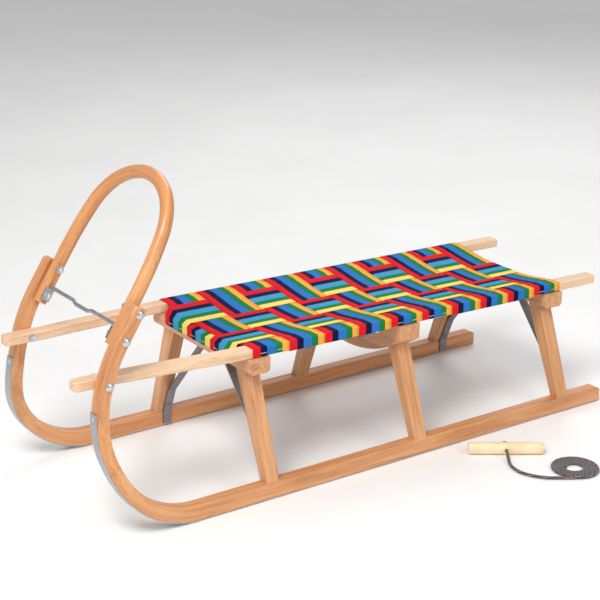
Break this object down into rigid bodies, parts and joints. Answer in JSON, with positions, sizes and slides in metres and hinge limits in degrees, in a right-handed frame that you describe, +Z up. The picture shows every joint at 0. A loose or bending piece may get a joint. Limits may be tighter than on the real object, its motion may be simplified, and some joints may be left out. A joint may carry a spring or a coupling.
{
  "type": "horned_toboggan",
  "caption": "Wooden horned toboggan with bent runners, a horn arch and a woven rainbow webbing seat, with a loose pull rope and toggle handle",
  "frame": {"origin": "on the floor under the middle of the toboggan's overall length and width, pull rope left out", "axes": "+X forward, towards the horns; +Y to the rider's left; +Z up"},
  "size_m": [1.05, 0.6129, 0.5272],
  "materials": {
    "honey_wood": "varnished",
    "pale_wood": "varnished",
    "steel": "satin",
    "webbing_red": "woven",
    "webbing_navy": "woven",
    "cream_wood": "varnished",
    "rope": "braided"
  },
  "bodies": {
    "root": {"arch_bolts": "steel", "arch_nuts": "steel", "arch_washers": "steel", "brace_front_left": "steel", "brace_front_right": "steel", "brace_rear_left": "steel", "brace_rear_right": "steel", "brace_screws": "steel", "crossbar_front": "honey_wood", "crossbar_middle": "honey_wood", "crossbar_rear": "honey_wood", "horn_arch": "honey_wood", "leg_front_left": "honey_wood", "leg_front_right": "honey_wood", "leg_middle_left": "honey_wood", "leg_middle_right": "honey_wood", "leg_rear_left": "honey_wood", "leg_rear_right": "honey_wood", "pull_bar": "steel", "pull_handle": "cream_wood", "rail_bolts": "steel", "rail_nuts": "steel", "rail_screws": "steel", "rail_washers": "steel", "rope_coil": "rope", "rope_knot": "rope", "rope_lead": "rope", "runner_left": "honey_wood", "runner_right": "honey_wood", "runner_shoe_left": "steel", "runner_shoe_right": "steel", "shoe_screws": "steel", "side_rail_left": "pale_wood", "side_rail_right": "pale_wood", "webbing_cross_01": "webbing_navy", "webbing_cross_02": "webbing_navy", "webbing_cross_03": "webbing_navy", "webbing_cross_04": "webbing_navy", "webbing_cross_05": "webbing_navy", "webbing_cross_06": "webbing_navy", "webbing_cross_07": "webbing_navy", "webbing_cross_08": "webbing_navy", "webbing_cross_09": "webbing_navy", "webbing_cross_10": "webbing_navy", "webbing_long_1": "webbing_red", "webbing_long_2": "webbing_red", "webbing_long_3": "webbing_red", "webbing_staples": "steel"}
  },
  "joints": []
}
